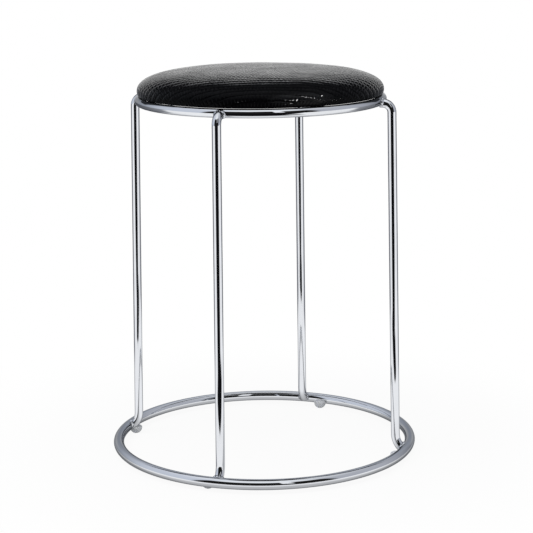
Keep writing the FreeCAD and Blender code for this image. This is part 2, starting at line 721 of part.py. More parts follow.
base_ring()
tube_ring("top_ring", *TOP_RING, "Sizes.top_tube_wall")
for index in range(LEG_COUNT):
    centreline = leg(index)
    glide(index)
    seat_tab(index)
    tab_weld(index)
    seat_washer(index)
    seat_screw(index)
weld_beads("top_weld", TOP_RING, centreline)
weld_beads("foot_weld", BASE_RING, centreline)
seat_board()
seat_foam()
seat_cover()
dust_cover()
staples("hem_staples", worked_out(HEM_STAPLE_RADIUS), HEM_STAPLE_COUNT, worked_out(SEAT_UNDERSIDE))
staples("dust_staples", worked_out(DUST_STAPLE_RADIUS), DUST_STAPLE_COUNT,
        worked_out(DUST_COVER_UNDERSIDE))
doc.recompute()

for item in doc.Objects:
    if "Invalid" in item.State or "Error" in item.State:
        raise ValueError("failed: " + item.Label)
for item in sub_parts:
    if item.Shape.isNull() or not item.Shape.isValid():
        raise ValueError("not a valid solid: " + item.Label)
os.makedirs("parts", exist_ok=True)
for item in sub_parts:
    item.Shape.exportStep("parts/" + item.Label + ".step")
    print("%-26s %2d solid(s) %10.1f mm3" % (item.Label, len(item.Shape.Solids), item.Shape.Volume))
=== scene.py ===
import math

import bpy
import numpy as np
from mathutils import Matrix, Vector


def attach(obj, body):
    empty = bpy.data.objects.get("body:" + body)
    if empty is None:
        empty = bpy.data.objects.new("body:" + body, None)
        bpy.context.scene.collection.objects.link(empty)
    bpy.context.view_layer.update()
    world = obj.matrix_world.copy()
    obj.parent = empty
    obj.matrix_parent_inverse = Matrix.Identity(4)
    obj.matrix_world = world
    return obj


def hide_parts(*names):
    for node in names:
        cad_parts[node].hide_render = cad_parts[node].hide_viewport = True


# Round stool: black embossed vinyl seat on a chromed tube frame. Metres, +Z up, floor at z = 0.

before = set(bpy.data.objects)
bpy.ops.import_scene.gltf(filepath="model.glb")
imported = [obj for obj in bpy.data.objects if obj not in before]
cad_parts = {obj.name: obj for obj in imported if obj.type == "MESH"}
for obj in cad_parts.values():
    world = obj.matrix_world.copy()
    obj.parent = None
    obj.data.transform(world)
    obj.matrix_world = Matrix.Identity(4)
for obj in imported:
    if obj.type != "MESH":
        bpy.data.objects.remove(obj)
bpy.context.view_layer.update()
scene = bpy.context.scene
random = np.random.default_rng(11)

corners = {"rear_right": 45.0, "rear_left": 135.0, "front_left": 225.0, "front_right": 315.0}
viewAzimuth = math.radians(-27.2)  # the photo was taken from this side of the front


# Camera

cameraFit = {
    "distance": 1.96885,
    "height": 0.63982,
    "pitch": 0.21227,
    "roll": 0.01108,
    "yaw": 0.00241,
    "lens": 117.35,
}


def addCamera(fit):
    turn = Matrix.Rotation(viewAzimuth, 3, "Z")
    ahead = Vector((math.sin(fit["yaw"]), math.cos(fit["yaw"]), 0))
    side = Vector((math.cos(fit["yaw"]), -math.sin(fit["yaw"]), 0))
    forward = ahead * math.cos(fit["pitch"]) - Vector((0, 0, math.sin(fit["pitch"])))
    upward = ahead * math.sin(fit["pitch"]) + Vector((0, 0, math.cos(fit["pitch"])))
    right = side * math.cos(fit["roll"]) - upward * math.sin(fit["roll"])
    top = side * math.sin(fit["roll"]) + upward * math.cos(fit["roll"])
    axes = [turn @ right, turn @ top, turn @ -forward]
    place = turn @ Vector((0, -fit["distance"], fit["height"]))
    data = bpy.data.cameras.new("camera")
    data.lens = fit["lens"]
    data.sensor_width = 36.0
    camera = bpy.data.objects.new("camera", data)
    scene.collection.objects.link(camera)
    rows = [[axes[column][row] for column in range(3)] + [place[row]] for row in range(3)]
    camera.matrix_world = Matrix(rows + [[0, 0, 0, 1]])
    scene.camera = camera


addCamera(cameraFit)
print("camera placed")


# Node and mesh helpers

# A new node: its inputs are set or, where the value is a socket, linked.
def put(tree, kind, inputs=None, **settings):
    item = tree.nodes.new(kind)
    for key, value in settings.items():
        setattr(item, key, value)
    for socket, value in (inputs or {}).items():
        if isinstance(value, bpy.types.NodeSocket):
            tree.links.new(value, item.inputs[socket])
        else:
            item.inputs[socket].default_value = value
    return item


def vectorCalc(tree, operation, first, second):
    return put(tree, "ShaderNodeVectorMath", {0: first, 1: second}, operation=operation).outputs[0]


def lengthOf(tree, vector):
    return put(tree, "ShaderNodeVectorMath", {0: vector}, operation="LENGTH").outputs["Value"]


def noise(tree, vector, scale, detail):
    return put(tree, "ShaderNodeTexNoise", {"Vector": vector, "Scale": scale, "Detail": detail}).outputs


# Mix of two shaders: none of the second at share 0.
def mixed(tree, share, first, second):
    return put(tree, "ShaderNodeMixShader", {0: share, 1: first, 2: second}).outputs[0]


def calc(tree, operation, *values):
    return put(tree, "ShaderNodeMath", dict(enumerate(values)), operation=operation).outputs[0]


# Smooth step from low to high while the value goes from start to end.
def step(tree, value, start, end, low=0.0, high=1.0):
    sockets = {"Value": value, "From Min": start, "From Max": end, "To Min": low, "To Max": high}
    return put(tree, "ShaderNodeMapRange", sockets, interpolation_type="SMOOTHSTEP").outputs[0]


# Two colours mixed by a share, each a colour triple or a socket.
def blendColor(tree, share, first, second):
    item = put(tree, "ShaderNodeMix", data_type="RGBA")
    for socket, value in ((item.inputs[0], share), (item.inputs[6], first), (item.inputs[7], second)):
        if isinstance(value, bpy.types.NodeSocket):
            tree.links.new(value, socket)
        elif isinstance(value, tuple):
            socket.default_value = value + (1.0,)
        else:
            socket.default_value = value
    return item.outputs[2]


def ramp(tree, value, stops):
    item = put(tree, "ShaderNodeValToRGB", {"Fac": value})
    band = item.color_ramp
    while len(band.elements) < len(stops):
        band.elements.new(0.5)
    for element, (place, color) in zip(band.elements, stops):
        element.position = place
        element.color = tuple(color) + (1.0,)
    return item.outputs["Color"]


def newMaterial(name):
    material = bpy.data.materials.new(name)
    material.use_nodes = True
    tree = material.node_tree
    return material, tree, tree.nodes["Principled BSDF"]


# Quads of a grid of points, rows by columns, closed round in either direction.
def gridFaces(rows, columns, closeRows, closeColumns):
    i = np.arange(rows if closeRows else rows - 1)[:, None]
    j = np.arange(columns if closeColumns else columns - 1)[None, :]
    iNext = (i + 1) % rows
    jNext = (j + 1) % columns
    corner = [i * columns + j, iNext * columns + j, iNext * columns + jNext, i * columns + jNext]
    return np.stack([np.broadcast_to(c, (i.size, j.size)) for c in corner], -1).reshape(-1, 4).tolist()


# A grid of rings, with a fan from a middle point at each end.
def cappedTube(points):
    rows, columns = points.shape[:2]
    every = np.concatenate([points.reshape(-1, 3), [points[0].mean(0), points[-1].mean(0)]])
    j = np.arange(columns)
    jNext = (j + 1) % columns
    last = (rows - 1) * columns
    first = np.stack([np.full(columns, rows * columns), j, jNext], -1)
    final = np.stack([np.full(columns, rows * columns + 1), last + jNext, last + j], -1)
    return every, gridFaces(rows, columns, False, True) + first.tolist() + final.tolist()


def makePiece(name, points, faces, material, sheetMap=None):
    mesh = bpy.data.meshes.new(name)
    mesh.from_pydata(points.reshape(-1, 3).tolist(), [], faces)
    mesh.polygons.foreach_set("use_smooth", np.ones(len(mesh.polygons), bool))
    if sheetMap is not None:
        layer = mesh.uv_layers.new(name="sheet")
        spots = np.empty(len(mesh.loops), int)
        mesh.loops.foreach_get("vertex_index", spots)
        layer.data.foreach_set("uv", np.asarray(sheetMap, np.float32)[spots].ravel())
    mesh.update()
    piece = bpy.data.objects.new(name, mesh)
    scene.collection.objects.link(piece)
    mesh.materials.append(material)
    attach(piece, "root")
    return piece


# The points turned about the upright axis.
def turnedBy(points, degrees):
    sine, cosine = math.sin(math.radians(degrees)), math.cos(math.radians(degrees))
    return points @ np.array([[cosine, sine, 0], [-sine, cosine, 0], [0, 0, 1]])


# Evenly spaced angles of a full turn, without the last one, which is the first again.
def fullTurn(count):
    return np.linspace(0, 2 * math.pi, count, endpoint=False)


# Corner name as it stands in a piece's name, such as RearRight.
def titled(cornerName):
    return cornerName.title().replace("_", "")


# Sum of sines: each has a rate, a height and a phase. Where the place is an angle, a rate is the
# count of waves round a full turn.
def waves(place, rates, heights, phases):
    return sum(h * np.sin(n * place + p) for n, h, p in zip(rates, heights, phases))


# Materials

# The rim value is how far painted shade darkens the colour where the tube turns away.
chromeLook = {"color": (0.83, 0.84, 0.86), "rimShade": 0.56, "roughness": 0.035, "swirl": 0.03, "pit": 0.02}
weldLook = {"color": (0.74, 0.75, 0.77), "rimShade": 0.56, "roughness": 0.09, "swirl": 0.5, "pit": 0.35}


# Bright plate: mirror finish with faint buffing marks, haze patches and tiny pits. Its colour has
# painted shade: it darkens towards the rim, where the tube turns away.
def makeChrome(name, look):
    material, tree, shader = newMaterial(name)
    place = put(tree, "ShaderNodeTexCoord").outputs["Object"]
    haze = noise(tree, place, 38.0, 5.0)[0]
    fine = noise(tree, place, 900.0, 3.0)[0]
    shader.inputs["Metallic"].default_value = 1.0
    tint = ramp(tree, haze, [(0.35, look["color"]), (0.75, [c * 0.94 for c in look["color"]])])
    # Painted shade: the colour is darker towards the rim, where the tube turns away from view.
    facing = put(tree, "ShaderNodeLayerWeight", {"Blend": 0.5}).outputs["Facing"]
    rimShadeShare = step(tree, facing, 0.3, 0.62, 0.0, look["rimShade"])
    rimShade = blendColor(tree, rimShadeShare, tint, tuple(c * 0.42 for c in look["color"]))
    tree.links.new(rimShade, shader.inputs["Base Color"])
    shader.inputs["Specular Tint"].default_value = (0.35, 0.36, 0.38, 1)
    rough = step(tree, haze, 0.4, 0.8, look["roughness"], look["roughness"] * 2.2)
    tree.links.new(rough, shader.inputs["Roughness"])
    buff = put(tree, "ShaderNodeBump", {"Strength": look["swirl"], "Distance": 0.0002, "Height": haze})
    pits = step(tree, fine, 0.62, 0.72, 1.0, 0.0)
    bump = put(tree, "ShaderNodeBump", {"Strength": look["pit"], "Distance": 0.0001, "Height": pits,
                                        "Normal": buff.outputs[0]})
    tree.links.new(bump.outputs[0], shader.inputs["Normal"])
    return material


chrome = makeChrome("chromePlate", chromeLook)
weldChrome = makeChrome("weldPlate", weldLook)

vinylLook = {
    "color": (0.0014, 0.0014, 0.0017),
    # Colour in the grooves between the scales, darker as painted shade.
    "grooveShade": (0.0006, 0.0006, 0.0008),
    "cellWidth": 0.0042,
    "cellDepth": 0.0085,
    "rowShift": 0.43,
    "drift": ((9.0, 0.022), (60.0, 0.003)),  # noise scale and how far it moves the pattern
    "relief": 0.0006,
    "roughness": 0.1,
    "specular": 0.04,
    "worn": {"azimuth": 18.0, "reach": 0.137, "height": 0.4245, "size": 0.044, "flatness": 6.0,
             "specular": 0.17},
}


# Height of the embossing, 0 to 1: rows across the sheet, each cut into cells that are shifted from
# row to row. A cell falls away from its middle as a power of the distance, and its edges wander.
def scaleHeight(tree, warped, look):
    parts = put(tree, "ShaderNodeSeparateXYZ", {0: warped}).outputs
    rows = calc(tree, "DIVIDE", parts[1], look["cellDepth"])
    offset = calc(tree, "MULTIPLY", calc(tree, "FLOOR", rows), look["rowShift"])
    cells = calc(tree, "ADD", calc(tree, "DIVIDE", parts[0], look["cellWidth"]), offset)
    falls = []
    for value in (rows, cells):
        centred = calc(tree, "ABSOLUTE", calc(tree, "SUBTRACT", calc(tree, "FRACT", value), 0.5))
        falls.append(calc(tree, "MULTIPLY", calc(tree, "POWER", centred, 2.6), 6.06))
    falls[1] = calc(tree, "MULTIPLY", falls[1], 0.75)
    return calc(tree, "SUBTRACT", 1.0, calc(tree, "MAXIMUM", falls[0], falls[1]))


# Patch at the front edge that shines more: full inside 0.6 of its size, none past it.
def wornGloss(tree, worn, plain):
    turn = viewAzimuth + math.radians(worn["azimuth"])
    spot = (worn["reach"] * math.sin(turn), -worn["reach"] * math.cos(turn), worn["height"])
    place = put(tree, "ShaderNodeTexCoord").outputs["Object"]
    away = vectorCalc(tree, "SUBTRACT", place, spot)
    reach = lengthOf(tree, vectorCalc(tree, "MULTIPLY", away, (1.0, 1.0, worn["flatness"])))
    return step(tree, reach, worn["size"] * 0.6, worn["size"], worn["specular"], plain)


# Embossed vinyl: rows of rounded scales on the flat sheet, with a fine pore grain on top.
def makeVinyl(look):
    material, tree, shader = newMaterial("embossedVinyl")
    sheet = put(tree, "ShaderNodeUVMap", uv_map="sheet").outputs[0]
    lie = put(tree, "ShaderNodeMapping", {"Vector": sheet, "Rotation": (0, 0, -viewAzimuth)}).outputs[0]
    warped = lie
    for scale, amount in look["drift"]:
        shift = vectorCalc(tree, "SUBTRACT", noise(tree, lie, scale, 2.0)["Color"], (0.5, 0.5, 0.5))
        warped = vectorCalc(tree, "ADD", warped, vectorCalc(tree, "MULTIPLY", shift, (amount,) * 3))
    level = scaleHeight(tree, warped, look)
    cracks = put(tree, "ShaderNodeTexVoronoi", {"Vector": warped, "Scale": 420.0, "Randomness": 0.9})
    pebble = calc(tree, "SUBTRACT", level, calc(tree, "MULTIPLY", cracks.outputs["Distance"], 0.3))
    grain = noise(tree, sheet, 2200.0, 2.0)[0]
    embossed = put(tree, "ShaderNodeBump", {"Strength": 1.0, "Distance": look["relief"], "Height": pebble})
    pores = put(tree, "ShaderNodeBump", {"Strength": 0.35, "Distance": 0.00006, "Height": grain,
                                         "Normal": embossed.outputs[0]})
    # Painted shade: the colour darkens from the scale tops down into the grooves.
    color = ramp(tree, level, [(0.0, look["grooveShade"]), (1.0, look["color"])])
    tree.links.new(color, shader.inputs["Base Color"])
    patch = noise(tree, sheet, 30.0, 3.0)[0]
    rough = step(tree, patch, 0.3, 0.7, look["roughness"] - 0.02, look["roughness"] + 0.06)
    tree.links.new(rough, shader.inputs["Roughness"])
    tree.links.new(wornGloss(tree, look["worn"], look["specular"]), shader.inputs["Specular IOR Level"])
    tree.links.new(pores.outputs[0], shader.inputs["Normal"])
    return material


vinyl = makeVinyl(vinylLook)


# Natural plastic: milky, light soaks into it, with a scuffed satin surface.
def makeGlidePlastic():
    material, tree, shader = newMaterial("naturalPlastic")
    place = put(tree, "ShaderNodeTexCoord").outputs["Object"]
    cloud = noise(tree, place, 260.0, 4.0)[0]
    tree.links.new(ramp(tree, cloud, [(0.3, (0.60, 0.62, 0.65)), (0.7, (0.68, 0.70, 0.73))]),
                   shader.inputs["Base Color"])
    tree.links.new(step(tree, cloud, 0.3, 0.7, 0.3, 0.45), shader.inputs["Roughness"])
    shader.inputs["Subsurface Weight"].default_value = 0.5
    shader.inputs["Subsurface Radius"].default_value = (0.004, 0.004, 0.0045)
    shader.inputs["Subsurface Scale"].default_value = 1.0
    scuff = put(tree, "ShaderNodeBump", {"Strength": 0.1, "Distance": 0.0002, "Height": cloud})
    tree.links.new(scuff.outputs[0], shader.inputs["Normal"])
    return material


glidePlastic = makeGlidePlastic()


# Zinc plate: pale grey with a faint spangle and rolling marks.
def makeZinc():
    material, tree, shader = newMaterial("zincPlate")
    place = put(tree, "ShaderNodeTexCoord").outputs["Object"]
    spangle = put(tree, "ShaderNodeTexVoronoi", {"Vector": place, "Scale": 240.0}).outputs["Color"]
    tone = put(tree, "ShaderNodeRGBToBW", {"Color": spangle}).outputs[0]
    smear = noise(tree, place, 700.0, 4.0)[0]
    shader.inputs["Metallic"].default_value = 1.0
    tree.links.new(ramp(tree, tone, [(0.2, (0.50, 0.51, 0.52)), (0.8, (0.66, 0.67, 0.67))]),
                   shader.inputs["Base Color"])
    tree.links.new(step(tree, smear, 0.3, 0.7, 0.26, 0.42), shader.inputs["Roughness"])
    marks = put(tree, "ShaderNodeBump", {"Strength": 0.2, "Distance": 0.0001, "Height": smear})
    tree.links.new(marks.outputs[0], shader.inputs["Normal"])
    return material


zinc = makeZinc()


# Spun-bonded cloth: matt black with a close grid of pressed dots and loose fibres.
def makeDustCloth():
    material, tree, shader = newMaterial("spunCloth")
    place = put(tree, "ShaderNodeTexCoord").outputs["Object"]
    dots = put(tree, "ShaderNodeTexVoronoi", {"Vector": place, "Scale": 620.0, "Randomness": 0.05})
    fibre = put(tree, "ShaderNodeTexNoise", {"Vector": place, "Scale": 1500.0, "Detail": 4.0,
                                             "Distortion": 2.0}).outputs[0]
    weave = calc(tree, "MULTIPLY_ADD", fibre, 0.5, step(tree, dots.outputs["Distance"], 0.15, 0.4))
    tree.links.new(ramp(tree, weave, [(0.2, (0.012, 0.012, 0.012)), (1.0, (0.035, 0.035, 0.036))]),
                   shader.inputs["Base Color"])
    shader.inputs["Roughness"].default_value = 0.85
    shader.inputs["Sheen Weight"].default_value = 0.3
    pressed = put(tree, "ShaderNodeBump", {"Strength": 0.6, "Distance": 0.0002, "Height": weave})
    tree.links.new(pressed.outputs[0], shader.inputs["Normal"])
    return material


dustCloth = makeDustCloth()


# Raw plywood: pale veneer with long grain and a few darker streaks.
def makePlywood():
    material, tree, shader = newMaterial("plywood")
    place = put(tree, "ShaderNodeTexCoord").outputs["Object"]
    drawn = put(tree, "ShaderNodeMapping", {"Vector": place, "Scale": (1, 14, 60)}).outputs[0]
    grain = noise(tree, drawn, 22.0, 7.0)[0]
    tree.links.new(ramp(tree, grain, [(0.3, (0.42, 0.27, 0.14)), (0.7, (0.66, 0.50, 0.31))]),
                   shader.inputs["Base Color"])
    shader.inputs["Roughness"].default_value = 0.7
    pores = put(tree, "ShaderNodeBump", {"Strength": 0.3, "Distance": 0.0002, "Height": grain})
    tree.links.new(pores.outputs[0], shader.inputs["Normal"])
    return material


plywood = makePlywood()
print("materials made")


# Tube rings

rings = {
    "base_ring": {"radius": 0.1716, "height": 0.0098, "tube": 0.006, "unround": 0.00003},
    "top_ring": {"radius": 0.138, "height": 0.4108, "tube": 0.005, "unround": 0.00003},
}


# Circle of the ring's radius, with a circle of the tube's radius set upright at each angle.
# The tube's radius has faint waves along the ring, as bending leaves them.
def ringPoints(ring, around=900, section=56):
    a = fullTurn(around)[:, None]
    b = fullTurn(section)[None, :]
    phase = random.uniform(0, 6.28, 4)
    uneven = waves(a, (5, 13, 29, 47), (1.0, 0.6, 0.35, 0.2), phase) * ring["unround"]
    tube = ring["tube"] - ring["unround"] + uneven * np.cos(2 * b + phase[0])
    reach = ring["radius"] + tube * np.cos(b)
    return np.stack([reach * np.cos(a), reach * np.sin(a), ring["height"] + tube * np.sin(b) + 0 * a], -1)


for ringName, ring in rings.items():
    points = ringPoints(ring)
    faces = gridFaces(*points.shape[:2], True, True)
    piece = makePiece(ringName.replace("_r", "R"), points, faces, chrome)
    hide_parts(ringName)
print("rings made")


# Legs

leg = {
    "tube": 0.005,
    "headBend": 0.010,
    "headDrop": 0.0017,
    "headOverhang": 0.015,
    "headGap": 0.0015,
    "footBend": 0.024,
    "footInset": 0.0124,
    "footStandoff": 0.0064,
    "footRise": 0.0015,
    "waviness": 0.00002,
}


# Centreline in the plane of radius and height: a short level run under the seat, a tight
# quarter bend, a long leaning run and a gentle bend out to the base ring.
def legRoute():
    base, top = rings["base_ring"], rings["top_ring"]
    footRadius = base["radius"] - leg["footInset"]
    lean = math.atan2(footRadius - top["radius"] - leg["headOverhang"], top["height"] - base["height"])
    out = np.array([math.cos(lean), math.sin(lean)])
    down = np.array([math.sin(lean), -math.cos(lean)])

    def onLeg(height):
        return np.array([footRadius - (height - base["height"]) * math.tan(lean), height])

    headHeight = top["height"] - leg["headDrop"]
    headCentre = onLeg(headHeight - leg["headBend"]) - np.array([leg["headBend"] / math.cos(lean), 0])
    turn = math.acos(1 - (leg["footInset"] - leg["footStandoff"]) / leg["footBend"])
    footStart = onLeg(base["height"] + leg["footRise"]) - down * leg["footBend"] * math.sin(turn)
    footCentre = footStart + out * leg["footBend"]
    bendIn = np.linspace(math.pi / 2, lean, 26)
    bendOut = np.linspace(math.pi + lean, math.pi + lean + turn, 30)
    head = headCentre + leg["headBend"] * np.stack([np.cos(bendIn), np.sin(bendIn)], -1)
    foot = footCentre + leg["footBend"] * np.stack([np.cos(bendOut), np.sin(bendOut)], -1)
    levelRun = np.linspace(top["radius"] + leg["headGap"], head[0, 0], 20)[:-1]
    level = np.stack([levelRun, np.full(len(levelRun), headHeight)], -1)
    run = head[-1] + np.linspace(0, 1, 182)[1:-1, None] * (foot[0] - head[-1])
    onward = foot[-1] - foot[-2]
    tail = foot[-1] + onward / np.linalg.norm(onward) * np.linspace(0.0002, 0.002, 8)[:, None]
    return np.concatenate([level, head, run, foot, tail])


# Circle of the tube's radius carried square to a route that lies in the radius-height plane.
def tubeAlong(route, radius, section=48):
    along = np.gradient(route, axis=0)
    along /= np.linalg.norm(along, axis=1, keepdims=True)
    across = np.stack([-along[:, 1], along[:, 0]], -1)
    b = fullTurn(section)
    flat = route[:, None, :] + radius[:, None, None] * np.cos(b)[None, :, None] * across[:, None, :]
    return np.stack([flat[..., 0], radius[:, None] * np.sin(b)[None, :], flat[..., 1]], -1)


route = legRoute()
for cornerName, angle in corners.items():
    travel = np.linspace(0, 1, len(route))
    phase = random.uniform(0, 6.28, 3)
    radius = leg["tube"] - leg["waviness"] + waves(travel, (40, 95, 210), (8e-6, 6e-6, 4e-6), phase)
    tube = tubeAlong(route, radius)
    every, faces = cappedTube(tube)
    piece = makePiece("leg" + titled(cornerName), turnedBy(every, angle), faces, chrome)
    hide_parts("leg_" + cornerName)
print("legs made")


# Weld beads

weld = {"width": 0.0021, "bulge": 0.75, "ripple": 0.00022, "ripples": 13, "sunk": 0.0008, "around": 96}


# Distance from a ring's surface: distance from its centreline, less the tube's radius.
def ringDistance(points, ring):
    reach = np.hypot(points[..., 0], points[..., 1]) - ring["radius"]
    return np.hypot(reach, points[..., 2] - ring["height"]) - ring["tube"]


# Collar between a leg and a ring. Round the leg, each section runs from a point on the leg, a
# weld's width short of the ring, over a bulge to a point on the ring, and back inside both.
def weldPoints(ring, atHead, seed):
    stream = np.random.default_rng(seed)
    around, sunk = weld["around"], weld["sunk"]
    line = route[:60] if atHead else route[::-1][:60]
    steps = np.linspace(0, len(line) - 1, 900)
    fine = np.stack([np.interp(steps, np.arange(len(line)), line[:, k]) for k in range(2)], -1)
    skin = tubeAlong(fine, np.full(len(fine), leg["tube"]), around)
    core = np.stack([fine[:, 0], 0 * fine[:, 0], fine[:, 1]], -1)[:, None, :]
    gap = ringDistance(skin, ring)
    b = fullTurn(around)
    lump = 1 + waves(b, (2, 3, 5, weld["ripples"]), (0.16, 0.12, 0.1, 0.09), stream.uniform(0, 6.28, 4))
    width = weld["width"] * lump

    def firstBeyond(limit):
        return np.argmax(gap > np.broadcast_to(limit, gap.shape), axis=0)

    pick = np.arange(around)
    meet = firstBeyond(np.zeros(around))
    onLeg = skin[firstBeyond(width), pick]
    joint = skin[meet, pick]
    outward = joint - np.broadcast_to(core, skin.shape)[meet, pick]
    outward /= np.linalg.norm(outward, axis=1, keepdims=True)
    spread = joint + outward * width[:, None]
    flat = np.hypot(spread[:, 0], spread[:, 1])
    centre = np.stack([spread[:, 0] / flat * ring["radius"], spread[:, 1] / flat * ring["radius"],
                       np.full(around, ring["height"])], -1)
    away = spread - centre
    away /= np.linalg.norm(away, axis=1, keepdims=True)
    onRing = centre + away * ring["tube"]
    handle = joint + (onLeg - joint) * weld["bulge"] + (onRing - joint) * weld["bulge"]
    t = np.linspace(0, 1, 13)[None, :, None]
    arc = (1 - t) ** 2 * onLeg[:, None] + 2 * t * (1 - t) * handle[:, None] + t ** 2 * onRing[:, None]
    normal = outward[:, None] * 0.7 + away[:, None] * 0.7
    ripple = (np.sin(weld["ripples"] * b + stream.uniform(0, 6.28)) + 0.6 * np.sin(29 * b))[:, None]
    arc = arc + normal * (ripple * np.sin(math.pi * t[..., 0]) * weld["ripple"])[..., None]
    insideLeg = onLeg - outward * sunk
    insideRing = onRing - away * sunk
    deep = joint - outward * sunk - away * sunk
    return np.concatenate([insideLeg[:, None], arc, insideRing[:, None], deep[:, None]], 1)


for number, (cornerName, angle) in enumerate(corners.items()):
    for kind, ringName, atHead in (("top", "top_ring", True), ("foot", "base_ring", False)):
        points = weldPoints(rings[ringName], atHead, 20 + number * 2 + atHead)
        faces = gridFaces(*points.shape[:2], True, True)
        title = kind + "Weld" + titled(cornerName)
        piece = makePiece(title, turnedBy(points, angle), faces, weldChrome)
        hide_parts(kind + "_weld_" + cornerName)
print("weld beads made")


# Glides

glide = {
    "ball": 0.0075,
    "middle": 0.007,
    "crown": 0.0030,
    "inset": 0.0073,
    "soleRound": 0.0012,
    "lead": {"rear_right": 7.8, "rear_left": 0.9, "front_left": 4.5, "front_right": 4.5},  # degrees
}


# Turned shape: flat sole with a small round, ball side, and a low dome on top.
def glidePoints():
    sole = math.asin(glide["middle"] / glide["ball"])
    low = np.linspace(-sole, 0, 22)
    high = np.linspace(0, math.pi / 2 - 0.02, 20)[1:]
    r = np.concatenate([[glide["soleRound"]], glide["ball"] * np.cos(low), glide["ball"] * np.cos(high)])
    z = np.concatenate([[0.0], glide["middle"] + glide["ball"] * np.sin(low),
                        glide["middle"] + glide["crown"] * np.sin(high)])
    a = fullTurn(48)[None, :]
    reach = rings["base_ring"]["radius"] - glide["inset"]
    return np.stack([reach + r[:, None] * np.cos(a), r[:, None] * np.sin(a), z[:, None] + 0 * a], -1)


for cornerName, angle in corners.items():
    every, faces = cappedTube(glidePoints()[::-1])
    points = turnedBy(every, angle - glide["lead"][cornerName])
    piece = makePiece("glide" + titled(cornerName), points, faces, glidePlastic)
    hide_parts("glide_" + cornerName)
print("glides made")


# Seat

seat = {
    "radius": 0.140,
    "underside": 0.4159,
    "belly": 0.0056,
    "rise": 0.024,
    "roll": 0.003,
    "crown": 0.5,
    "quarter": 0.5523,  # handle length that makes a quarter circle
    "thickness": 0.001,
    "hem": 0.020,
    "pleats": 104,
    "pleatDepth": 0.0007,
    "simInset": 0.0015,  # the cloth starts this much smaller
    "voxel": 0.005,
    "pressure": 4.0,
    "frames": 20,
    "cap": 0.006,
    "net": (36, 96),
    "evening": 12,
    "keep": 0.0004,  # the photo shows a tight skin, so no more of the unevenness stays
}


# Cubic curve through the first and last of four poles, towards the two between.
def bezier(poles, count):
    t = np.linspace(0, 1, count)[:, None]
    a, b, c, d = (np.array(p) for p in poles)
    return (1 - t) ** 3 * a + 3 * t * (1 - t) ** 2 * b + 3 * t ** 2 * (1 - t) * c + t ** 3 * d


# Outline in radius and height: crown from the middle to the widest place, then the roll under.
def seatProfile(inset):
    wide = seat["radius"] - inset
    level = seat["underside"] + seat["belly"]
    top = level + seat["rise"] - inset
    sole = (wide - seat["roll"], seat["underside"] + inset)
    crown = bezier([(0, top), (seat["crown"] * wide, top), (wide, top), (wide, level)], 400)
    roll = bezier([(wide, level), (wide, level - seat["quarter"] * (level - sole[1])),
                   (sole[0] + seat["quarter"] * seat["roll"], sole[1]), sole], 80)
    return np.concatenate([crown, roll[1:]])


# The same line with points at even distances along it, and those distances.
def evenly(line, count):
    travel = np.concatenate([[0], np.cumsum(np.linalg.norm(np.diff(line, axis=0), axis=1))])
    spots = np.linspace(0, travel[-1], count)
    return np.stack([np.interp(spots, travel, line[:, k]) for k in range(2)], -1), spots


# A line in radius and height, spun round the upright axis to the angles a.
def spun(line, a):
    radius, height = line[:, None, 0], line[:, None, 1]
    return np.stack([radius * np.cos(a), radius * np.sin(a), height + 0 * a], -1)


# Directions square to a line in radius and height: its slope turned by a quarter, out of the pad.
def outwardOf(line):
    slope = np.gradient(line, axis=0)
    normal = np.stack([slope[:, 1], -slope[:, 0]], -1)
    return normal / np.linalg.norm(normal, axis=1, keepdims=True)


def vertexPlaces(mesh):
    places = np.empty(len(mesh.vertices) * 3)
    mesh.vertices.foreach_get("co", places)
    return places.reshape(-1, 3)


# The mesh that the piece's modifiers give.
def finishedMesh(piece):
    bpy.context.view_layer.update()
    return bpy.data.meshes.new_from_object(piece.evaluated_get(bpy.context.evaluated_depsgraph_get()))


# A remeshed pad, a little small, inflated as cloth with its underside held, its movement capped.
def inflatedPad():
    inset = seat["simInset"]
    closed = np.concatenate([seatProfile(inset), [(0.0, seat["underside"] + inset)]])
    line, _ = evenly(closed, 90)
    every, faces = cappedTube(spun(line[1:-1], fullTurn(120)[None, :])[::-1])
    mesh = bpy.data.meshes.new("padBlank")
    mesh.from_pydata(every.tolist(), [], faces)
    pad = bpy.data.objects.new("padBlank", mesh)
    scene.collection.objects.link(pad)
    remesh = pad.modifiers.new("even", "REMESH")
    remesh.mode = "VOXEL"
    remesh.voxel_size = seat["voxel"]
    blank = finishedMesh(pad)
    pad.modifiers.clear()
    pad.data = blank
    start = vertexPlaces(blank)
    held = pad.vertex_groups.new(name="board")
    held.add(np.nonzero(start[:, 2] < seat["underside"] + 0.004)[0].tolist(), 1.0, "REPLACE")
    cloth = pad.modifiers.new("cloth", "CLOTH")
    cloth.settings.use_pressure = True
    cloth.settings.uniform_pressure_force = seat["pressure"]
    cloth.settings.effector_weights.gravity = 0
    cloth.settings.vertex_group_mass = "board"
    cloth.settings.tension_stiffness = 12
    cloth.settings.bending_stiffness = 0.6
    cloth.point_cache.frame_start = 1
    cloth.point_cache.frame_end = seat["frames"]
    for number in range(1, seat["frames"] + 1):
        scene.frame_set(number)
    move = vertexPlaces(finishedMesh(pad)) - start
    length = np.linalg.norm(move, axis=1, keepdims=True)
    print("cloth moved the pad by up to %.1f mm" % (length.max() * 1000))
    move *= np.minimum(1, seat["cap"] / np.maximum(length, 1e-9))
    pad.modifiers.clear()
    blank.vertices.foreach_set("co", (start + move).ravel())
    blank.update()
    scene.frame_set(1)
    soft = pad.modifiers.new("soft", "SUBSURF")
    soft.levels = soft.render_levels = 1
    return pad


